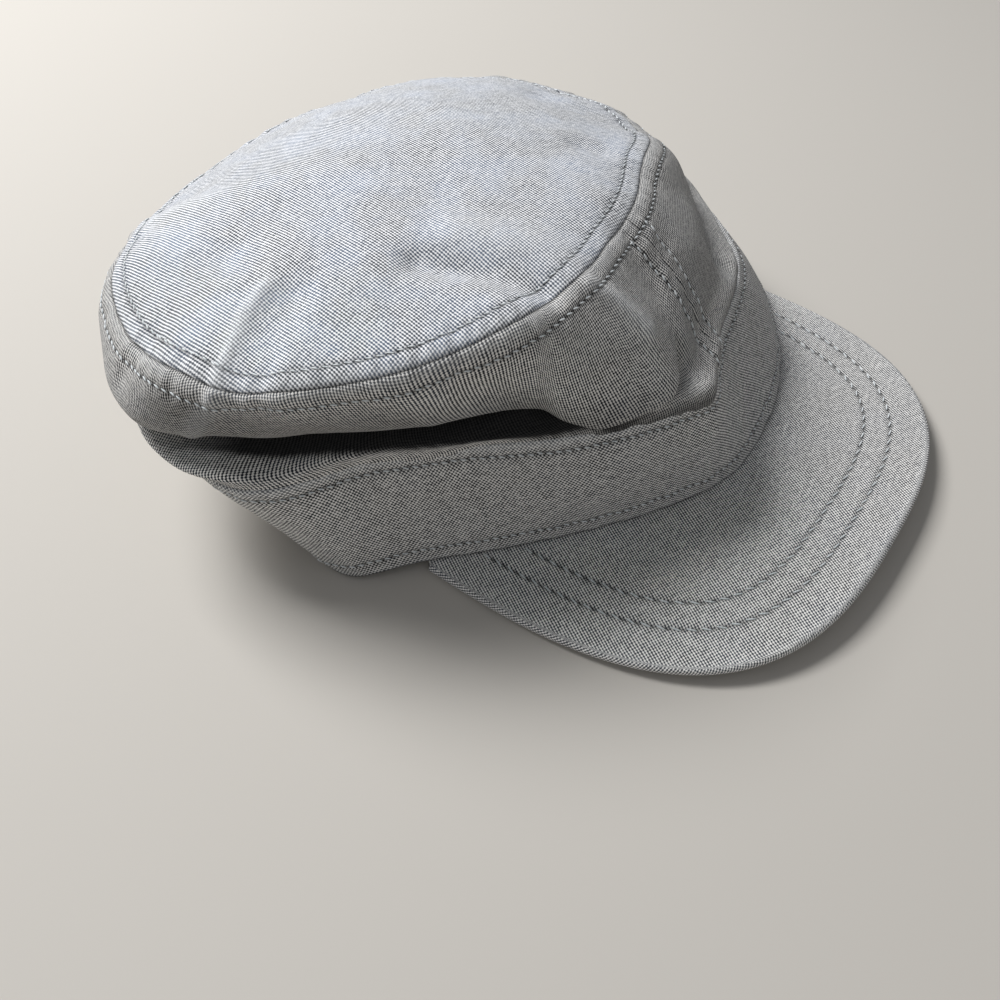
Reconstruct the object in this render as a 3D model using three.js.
// Soft chambray cap with a stiff peak, lying slumped on a flat surface.
// Millimetres, +Z up, resting on z = 0. The peak points along -Y and the wearer's right is -X.

import * as THREE from 'three';

// Driving sizes
const headWidth = 208;          // opening inside the lower edge of the band, side to side
const headLength = 163;         // the same opening, front to back
const bandHeight = 40;          // lower to upper edge of the band, measured along the cloth
const bandWall = 2.0;           // two layers of cloth and a stay
const bandBelly = 1.5;          // outward bow of the band between its two edges
const bandSettle = 16;          // degrees in which the band comes down behind a corner of the peak
const crownRise = 37;           // upper edge of the band to the crown seam at the centre front
const crownWall = 1.2;          // cloth with its seam allowances
const wallFoot = 2;             // height over which the crown's wall rises straight from the band
const topWidth = 186;           // crown seam, side to side
const topLength = 152;          // crown seam, front to back
const domeRise = 8;             // crown seam at the centre front to the highest point of the top
const slumpRight = 25;          // how far the top panel has slid to the wearer's right
const slumpBack = 40;           // how far it has slid to the back
const crownTurn = 13;           // degrees that the crown has turned about the head
const foldDepth = 4;            // depth that the shares in the table of folds follow
const foldWidth = 9;            // half width that they follow
const peakWidth = 180;          // across the widest part of the peak
const peakDepth = 51;           // band to the front edge of the peak at the centre front
const peakCornerDepth = 4;      // depth of the peak where its corners run in under the band
const peakArch = 6;             // rise of the peak's underside from its sides to its middle
const peakOffset = 2;           // how far the peak's middle line lies to the wearer's right
const peakSkew = 2;             // degrees that the front edge runs off square
const peakWall = 3;             // covered board
const peakTuck = 2;             // how far the peak runs in under the band
const pieceGap = 0.3;           // clearance between pieces that are sewn together

// Shape of the curves, without a length
const peakSquareness = 2.8;     // 2 is an oval, more has squarer shoulders
const domeRoundness = 2.2;      // how soon the top panel levels off inside the crown seam
const domePeak = { right: -0.10, back: -0.15 };   // its highest point, in halves of the top panel

// Steps that set how finely the cloth is faceted, and how far apart slopes are measured
const stepsRound = 72;
const stepsUpBand = 4;
const stepsUpWall = 14;
const stepsOverTop = 9;
const stepsAcrossPeak = 28;
const stepsAlongPeak = 5;
const slopeAngle = 1.5;
const slopeReach = { band: 0.1, crown: 0.03 };

// Cloth colours, warm grey below and bluer on top where the light falls
const colours = { band: 0x7f858c, side: 0x868d96, top: 0x98a3b1, peak: 0x8b939d };

// Rings of the cap from below to above, with a row for each section.
// slide: where the ring's oval lies between the head opening (0) and the top panel (1).
// at: degrees round the cap from the centre front towards the wearer's right.
// out: share of the ring's own oval. up: height above the ring that carries it, as a share of rise.
const lowerEdge = {
  slide: 0,
  rows: [
    { at: -150, out: 1.00 },
    { at: -90, out: 1.00 },
    { at: -49, out: 0.97 },
    { at: -20, out: 0.97 },
    { at: 2, out: 1.00 },
    { at: 14, out: 0.96 },
    { at: 24, out: 0.92 },
    { at: 44, out: 0.87 },
    { at: 60, out: 0.88 },
    { at: 72, out: 0.93 },
    { at: 84, out: 1.04 },
    { at: 100, out: 1.02 },
    { at: 150, out: 1.00 },
  ],
};
const bandTop = {
  slide: 0.4,
  rise: bandHeight,
  rows: [
    { at: -140, out: 1.00, up: 0.90 },
    { at: -90, out: 0.98, up: 0.92 },
    { at: -50, out: 0.96, up: 0.81 },
    { at: -29, out: 0.98, up: 0.81 },
    { at: -8, out: 0.98, up: 0.82 },
    { at: 2, out: 1.05, up: 0.84 },
    { at: 9, out: 1.12, up: 0.85 },
    { at: 15, out: 1.07, up: 0.85 },
    { at: 29, out: 0.97, up: 0.86 },
    { at: 51, out: 0.87, up: 0.89 },
    { at: 64, out: 0.88, up: 0.92 },
    { at: 77, out: 0.94, up: 0.94 },
    { at: 94, out: 1.12, up: 0.92 },
    { at: 115, out: 1.14, up: 0.86 },
    { at: 150, out: 1.03, up: 0.89 },
    { at: 180, out: 1.00, up: 0.90 },
  ],
};
const lowerRoll = {
  slide: 0.5,
  rise: crownRise,
  rows: [
    { at: -140, out: 1.01, up: 0.17 },
    { at: -90, out: 1.00, up: 0.17 },
    { at: -40, out: 0.96, up: 0.19 },
    { at: 0, out: 1.00, up: 0.18 },
    { at: 9, out: 1.08, up: 0.16 },
    { at: 16, out: 1.06, up: 0.11 },
    { at: 29, out: 0.96, up: 0.10 },
    { at: 64, out: 0.89, up: 0.11 },
    { at: 78, out: 0.96, up: 0.10 },
    { at: 97, out: 1.14, up: 0.10 },
    { at: 114, out: 1.21, up: 0.15 },
    { at: 145, out: 1.12, up: 0.13 },
    { at: 180, out: 1.03, up: 0.15 },
  ],
};
const crease = {
  slide: 0.6,
  rise: crownRise,
  rows: [
    { at: -140, out: 0.99, up: 0.32 },
    { at: -90, out: 1.01, up: 0.34 },
    { at: -40, out: 0.94, up: 0.37 },
    { at: 0, out: 0.99, up: 0.42 },
    { at: 9, out: 1.06, up: 0.37 },
    { at: 18, out: 1.01, up: 0.18 },
    { at: 29, out: 0.90, up: 0.18 },
    { at: 50, out: 0.82, up: 0.20 },
    { at: 62, out: 0.83, up: 0.21 },
    { at: 78, out: 0.90, up: 0.22 },
    { at: 98, out: 1.02, up: 0.25 },
    { at: 112, out: 1.10, up: 0.30 },
    { at: 145, out: 1.04, up: 0.29 },
    { at: 180, out: 0.99, up: 0.28 },
  ],
};
const pouchFold = {
  slide: 0.8,
  rise: crownRise,
  rows: [
    { at: -140, out: 1.08, up: 0.43 },
    { at: -90, out: 1.04, up: 0.53 },
    { at: -40, out: 0.97, up: 0.60 },
    { at: 0, out: 1.03, up: 0.64 },
    { at: 8, out: 1.13, up: 0.48 },
    { at: 14, out: 1.27, up: 0.22 },
    { at: 21, out: 1.22, up: 0.14 },
    { at: 29, out: 1.03, up: 0.18 },
    { at: 40, out: 0.95, up: 0.24 },
    { at: 54, out: 0.95, up: 0.31 },
    { at: 77, out: 0.98, up: 0.37 },
    { at: 96, out: 1.06, up: 0.39 },
    { at: 108, out: 1.15, up: 0.42 },
    { at: 131, out: 1.14, up: 0.51 },
    { at: 160, out: 1.14, up: 0.35 },
    { at: 180, out: 1.13, up: 0.34 },
  ],
};
const crownSeam = {
  slide: 1,
  rise: crownRise,
  rows: [
    { at: -140, out: 1.00, up: 0.60 },
    { at: -90, out: 1.00, up: 0.71 },
    { at: -42, out: 1.00, up: 0.81 },
    { at: -25, out: 0.94, up: 0.92 },
    { at: 0, out: 0.99, up: 0.96 },
    { at: 14, out: 1.01, up: 0.98 },
    { at: 38, out: 1.06, up: 0.99 },
    { at: 62, out: 1.07, up: 0.90 },
    { at: 80, out: 1.08, up: 0.86 },
    { at: 97, out: 1.02, up: 0.83 },
    { at: 114, out: 1.01, up: 0.82 },
    { at: 135, out: 1.01, up: 0.78 },
    { at: 160, out: 1.00, up: 0.59 },
    { at: 180, out: 1.00, up: 0.52 },
  ],
};

// Folds and dents. Each runs from one place on the cloth to another.
// reach: 0 at the band, 1 at the crown seam, 2 at the middle of the top panel.
// depth is a share of foldDepth, above 0 for a ridge; width is a share of foldWidth.
const folds = [
  { name: 'ridge over the side', at: 97, reach: 0.8, toAt: 87, toReach: 1.0, depth: 0.45, width: 0.7 },
  { name: 'ridge on the top', at: 87, reach: 1.0, toAt: 78, toReach: 1.45, depth: 0.45, width: 0.7 },
  { name: 'hollow behind the ridge', at: 104, reach: 1.15, toAt: 100, toReach: 1.4, depth: -0.4, width: 1.4 },
  { name: 'dent in the top', at: 30, reach: 1.35, toAt: 8, toReach: 1.2, depth: -0.7, width: 1.0 },
  { name: 'bulge of the front pouch', at: 34, reach: 0.8, toAt: 22, toReach: 0.75, depth: 0.6, width: 1.6 },
  { name: 'hollow beside the front seam', at: 9, reach: 0.9, toAt: 16, toReach: 0.72, depth: -0.6, width: 1.1 },
];

// Numbers round the cap, read from a table by a smooth closed curve through its rows
function readRing(rows, column, at) {
  const count = rows.length;
  const turn = ((at - rows[0].at) % 360 + 360) % 360 + rows[0].at;
  let i = 0;
  while (i < count - 1 && rows[i + 1].at <= turn) {
    i += 1;
  }
  const row = (k) => {
    const wrapped = (k + count) % count;
    return { at: rows[wrapped].at + 360 * Math.floor(k / count), value: rows[wrapped][column] };
  };
  const [a, b, c, d] = [row(i - 1), row(i), row(i + 1), row(i + 2)];
  const span = c.at - b.at;
  const t = (turn - b.at) / span;
  const slopeB = (c.value - a.value) / (c.at - a.at) * span;
  const slopeC = (d.value - b.value) / (d.at - b.at) * span;
  const t2 = t * t;
  const t3 = t2 * t;
  return (2 * t3 - 3 * t2 + 1) * b.value + (t3 - 2 * t2 + t) * slopeB
    + (3 * t2 - 2 * t3) * c.value + (t3 - t2) * slopeC;
}

// Place on a ring seen from above, at height 0
function planPoint(ring, at) {
  const halfWidth = THREE.MathUtils.lerp(headWidth, topWidth, ring.slide) / 2;
  const halfLength = THREE.MathUtils.lerp(headLength, topLength, ring.slide) / 2;
  const out = readRing(ring.rows, 'out', at);
  const angle = THREE.MathUtils.degToRad(at - crownTurn * ring.slide);
  return new THREE.Vector3(
    -slumpRight * ring.slide - halfWidth * out * Math.sin(angle),
    slumpBack * ring.slide - halfLength * out * Math.cos(angle),
    0,
  );
}

// The peak is bent like a slice of a cylinder whose axis runs front to back
function peakUnderside(x) {
  const share = Math.min(Math.abs(x + peakOffset) / (peakWidth / 2), 1);
  return peakArch * (1 - share * share);
}

// Angle at which the lower edge of the band is as wide as the peak, to the right (1) or left (-1)
function peakCorner(side) {
  const reach = peakWidth / 2 + side * peakOffset;
  let turn = 0;
  while (turn < 85 && Math.abs(planPoint(lowerEdge, side * turn).x) < reach) {
    turn += 1;
  }
  return turn;
}

const corners = { right: peakCorner(1), left: peakCorner(-1) };

// The lower edge lies on the peak in front and on the surface behind its corners
function lowerEdgePoint(at) {
  const point = planPoint(lowerEdge, at);
  const innerX = point.x * (1 - bandWall / point.length());
  const side = ((at + 180) % 360 + 360) % 360 - 180;
  const corner = side > 0 ? corners.right : corners.left;
  const down = THREE.MathUtils.smoothstep(Math.abs(side), corner, corner + bandSettle);
  point.z = (peakUnderside(innerX) + peakWall + pieceGap) * (1 - down);
  return point;
}

function bandTopPoint(at) {
  const point = planPoint(bandTop, at);
  point.z = lowerEdgePoint(at).z + bandTop.rise * readRing(bandTop.rows, 'up', at);
  return point;
}

function crownRingPoint(ring, at) {
  const point = planPoint(ring, at);
  point.z = bandTopPoint(at).z + pieceGap + ring.rise * readRing(ring.rows, 'up', at);
  return point;
}

function bandPoint(at, reach) {
  const low = lowerEdgePoint(at);
  const point = low.clone().lerp(bandTopPoint(at), reach);
  const away = new THREE.Vector3(low.x, low.y, 0).normalize();
  return point.addScaledVector(away, bandBelly * 4 * reach * (1 - reach));
}

const wallCurves = new Map();

// Smooth profile of the crown's wall in the section at one angle
function wallCurve(at) {
  const key = at.toFixed(4);
  if (!wallCurves.has(key)) {
    const foot = bandTopPoint(at);
    foot.z += pieceGap;
    const above = foot.clone().setZ(foot.z + wallFoot);
    const rings = [lowerRoll, crease, pouchFold, crownSeam].map((ring) => crownRingPoint(ring, at));
    const curve = new THREE.CatmullRomCurve3([foot, above, ...rings], false, 'centripetal');
    curve.arcLengthDivisions = 80;
    wallCurves.set(key, curve);
  }
  return wallCurves.get(key);
}

const domeTop = new THREE.Vector3(
  -slumpRight - domePeak.right * topWidth / 2,
  slumpBack + domePeak.back * topLength / 2,
  crownRingPoint(crownSeam, 0).z + domeRise,
);

// The crown as one sheet: the wall for a reach of 0 to 1, the top panel for 1 to 2
function crownSheet(at, reach) {
  if (reach <= 1) {
    return wallCurve(at).getPointAt(Math.max(reach, 0));
  }
  const inward = Math.min(reach - 1, 1);
  const seam = crownRingPoint(crownSeam, at);
  const point = seam.clone().lerp(domeTop, inward);
  point.z = domeTop.z + (seam.z - domeTop.z) * (1 - inward) ** domeRoundness;
  return point;
}

// Direction away from the cloth, from its slopes along and across
function outward(sheet, at, reach, reachStep) {
  const along = sheet(at + slopeAngle, reach).sub(sheet(at - slopeAngle, reach));
  const across = sheet(at, reach + reachStep).sub(sheet(at, reach - reachStep));
  return across.cross(along).normalize();
}

const foldLines = folds.map((fold) => ({
  ...fold,
  line: new THREE.Line3(crownSheet(fold.at, fold.reach), crownSheet(fold.toAt, fold.toReach)),
}));

function foldLift(point) {
  const nearest = new THREE.Vector3();
  let lift = 0;
  for (const fold of foldLines) {
    fold.line.closestPointToPoint(point, true, nearest);
    const distance = nearest.distanceTo(point) / (foldWidth * fold.width);
    lift += foldDepth * fold.depth * Math.exp(-distance * distance);
  }
  return lift;
}

// One place on the crown: the outer face, and the direction in which its wall is measured
function crownPlace(at, reach) {
  const normal = outward(crownSheet, at, reach, slopeReach.crown);
  if (reach === 0) {
    normal.setZ(0).normalize();
  }
  const outer = crownSheet(at, reach);
  const lift = reach === 0 ? 0 : foldLift(outer);
  outer.addScaledVector(normal, lift);
  return { outer, normal };
}

// The band's edges are cut level, so its wall is measured level at both
function bandPlace(at, reach) {
  const outer = bandPoint(at, reach);
  const inside = THREE.MathUtils.clamp(reach, slopeReach.band, 1 - slopeReach.band);
  const normal = outward(bandPoint, at, inside, slopeReach.band);
  if (reach === 0 || reach === 1) {
    normal.setZ(0).normalize();
  }
  return { outer, normal };
}

// Moves a border of a patch back by half the gap between two pieces
function drawBack(place, towards) {
  const step = towards.outer.clone().sub(place.outer).setLength(pieceGap / 2);
  return { outer: place.outer.clone().add(step), normal: place.normal };
}

// Closed solid from columns of places: outer face, inner face and the edges between them
function clothSolid(columns, wall, { round = false, drawn = {} } = {}) {
  const grid = columns.map((column) => column.slice());
  const last = grid.length - 1;
  const rows = grid[0].length;
  if (drawn.sides) {
    grid[0] = columns[0].map((place, j) => drawBack(place, columns[1][j]));
    grid[last] = columns[last].map((place, j) => drawBack(place, columns[last - 1][j]));
  }
  if (drawn.top) {
    for (const column of grid) {
      column[rows - 1] = drawBack(column[rows - 1], column[rows - 2]);
    }
  }
  if (drawn.bottom) {
    for (const column of grid) {
      column[0] = drawBack(column[0], column[1]);
    }
  }
  const positions = [];
  for (const column of grid) {
    for (const place of column) {
      const inner = place.outer.clone().addScaledVector(place.normal, -wall);
      positions.push(...place.outer.toArray(), ...inner.toArray());
    }
  }
  const count = grid.length;
  const outerAt = (i, j) => 2 * ((i % count) * rows + j);
  const innerAt = (i, j) => outerAt(i, j) + 1;
  const index = [];
  const quad = (a, b, c, d) => index.push(a, b, c, a, c, d);
  const spans = round ? count : count - 1;
  for (let i = 0; i < spans; i += 1) {
    for (let j = 0; j < rows - 1; j += 1) {
      quad(outerAt(i, j), outerAt(i, j + 1), outerAt(i + 1, j + 1), outerAt(i + 1, j));
      quad(innerAt(i, j), innerAt(i + 1, j), innerAt(i + 1, j + 1), innerAt(i, j + 1));
    }
    quad(outerAt(i, 0), outerAt(i + 1, 0), innerAt(i + 1, 0), innerAt(i, 0));
    quad(outerAt(i, rows - 1), innerAt(i, rows - 1), innerAt(i + 1, rows - 1), outerAt(i + 1, rows - 1));
  }
  if (!round) {
    for (let j = 0; j < rows - 1; j += 1) {
      quad(outerAt(0, j), innerAt(0, j), innerAt(0, j + 1), outerAt(0, j + 1));
      quad(outerAt(last, j), outerAt(last, j + 1), innerAt(last, j + 1), innerAt(last, j));
    }
  }
  return { positions, index };
}

function toGeometry({ positions, index }) {
  const geometry = new THREE.BufferGeometry();
  geometry.setAttribute('position', new THREE.Float32BufferAttribute(positions, 3));
  geometry.setIndex(index);
  geometry.computeVertexNormals();
  return geometry;
}

// Columns of places between two angles, from one reach to another
function columnsOf(place, fromAt, toAt, fromReach, toReach, stepsAlong, stepsUp, closed) {
  const columns = [];
  const count = closed ? stepsAlong : stepsAlong + 1;
  for (let i = 0; i < count; i += 1) {
    const at = THREE.MathUtils.lerp(fromAt, toAt, i / stepsAlong);
    const column = [];
    for (let j = 0; j <= stepsUp; j += 1) {
      column.push(place(at, THREE.MathUtils.lerp(fromReach, toReach, j / stepsUp)));
    }
    columns.push(column);
  }
  return columns;
}

function bandGeometry() {
  const columns = columnsOf(bandPlace, 0, 360, 0, 1, stepsRound, stepsUpBand, true);
  return toGeometry(clothSolid(columns, bandWall, { round: true }));
}

// Each side panel runs from the centre front seam to the centre back seam
function sideGeometry(fromAt, toAt) {
  const columns = columnsOf(crownPlace, fromAt, toAt, 0, 1, stepsRound / 2, stepsUpWall, false);
  return toGeometry(clothSolid(columns, crownWall, { drawn: { sides: true, top: true } }));
}

// The top panel is rings that close on one place in the middle
function topGeometry() {
  const nearMiddle = 2 - 1 / stepsOverTop;
  const columns = columnsOf(crownPlace, 0, 360, 1, nearMiddle, stepsRound, stepsOverTop - 1, true);
  const solid = clothSolid(columns, crownWall, { round: true, drawn: { bottom: true } });
  const rows = stepsOverTop;
  const rimQuad = 6 * (2 * (rows - 1) + 2);
  const kept = [];
  for (let i = 0; i < stepsRound; i += 1) {
    kept.push(...solid.index.slice(i * rimQuad, (i + 1) * rimQuad - 6));
  }
  const middle = domeTop.clone();
  middle.z += foldLift(middle);
  const outerMiddle = solid.positions.length / 3;
  solid.positions.push(...middle.toArray(), middle.x, middle.y, middle.z - crownWall);
  for (let i = 0; i < stepsRound; i += 1) {
    const a = 2 * (i * rows + rows - 1);
    const b = 2 * (((i + 1) % stepsRound) * rows + rows - 1);
    kept.push(a, outerMiddle, b, a + 1, b + 1, outerMiddle + 1);
  }
  return toGeometry({ positions: solid.positions, index: kept });
}

// The peak runs from its left corner (share 0) to its right one (share 1)
function peakRoot(share) {
  const point = planPoint(lowerEdge, THREE.MathUtils.lerp(-corners.left, corners.right, share));
  return point.sub(point.clone().setLength(peakTuck));
}

// Outline of the peak: half an oval with squared shoulders, carried by its two corners
function peakEdge(share) {
  const angle = (share - 0.5) * Math.PI;
  const across = -Math.sign(angle) * Math.abs(Math.sin(angle)) ** (2 / peakSquareness);
  const forward = Math.max(Math.cos(angle), 0) ** (2 / peakSquareness);
  const x = across * peakWidth / 2;
  const back = THREE.MathUtils.lerp(peakRoot(0).y, peakRoot(1).y, share) - peakCornerDepth;
  const front = -headLength / 2 - peakDepth;
  const skew = x * forward * Math.tan(THREE.MathUtils.degToRad(peakSkew));
  return new THREE.Vector3(x - peakOffset, THREE.MathUtils.lerp(back, front, forward) + skew, 0);
}

// The board is a thin slab between its underside and its upper face
function peakGeometry() {
  const columns = [];
  for (let i = 0; i <= stepsAcrossPeak; i += 1) {
    const share = i / stepsAcrossPeak;
    const root = peakRoot(share);
    const edge = peakEdge(share);
    const column = [];
    for (let j = 0; j <= stepsAlongPeak; j += 1) {
      const outer = edge.clone().lerp(root, j / stepsAlongPeak);
      outer.z = peakUnderside(outer.x) + peakWall;
      column.push({ outer, normal: new THREE.Vector3(0, 0, 1) });
    }
    columns.push(column);
  }
  return toGeometry(clothSolid(columns, peakWall));
}

function clothMesh(name, geometry, colour) {
  const material = new THREE.MeshStandardMaterial({ color: colour, roughness: 0.95, metalness: 0 });
  const mesh = new THREE.Mesh(geometry, material);
  mesh.name = name;
  return mesh;
}

const cap = new THREE.Group();
cap.add(
  clothMesh('band', bandGeometry(), colours.band),
  clothMesh('side_panel_right', sideGeometry(0, 180), colours.side),
  clothMesh('side_panel_left', sideGeometry(180, 360), colours.side),
  clothMesh('top_panel', topGeometry(), colours.top),
  clothMesh('peak', peakGeometry(), colours.peak),
);

// The origin is the middle of the cap's outline on the surface that it lies on
const extent = new THREE.Box3().setFromObject(cap);
const middle = extent.getCenter(new THREE.Vector3()).setZ(extent.min.z);
cap.children.forEach((mesh) => mesh.position.sub(middle));

export default cap;
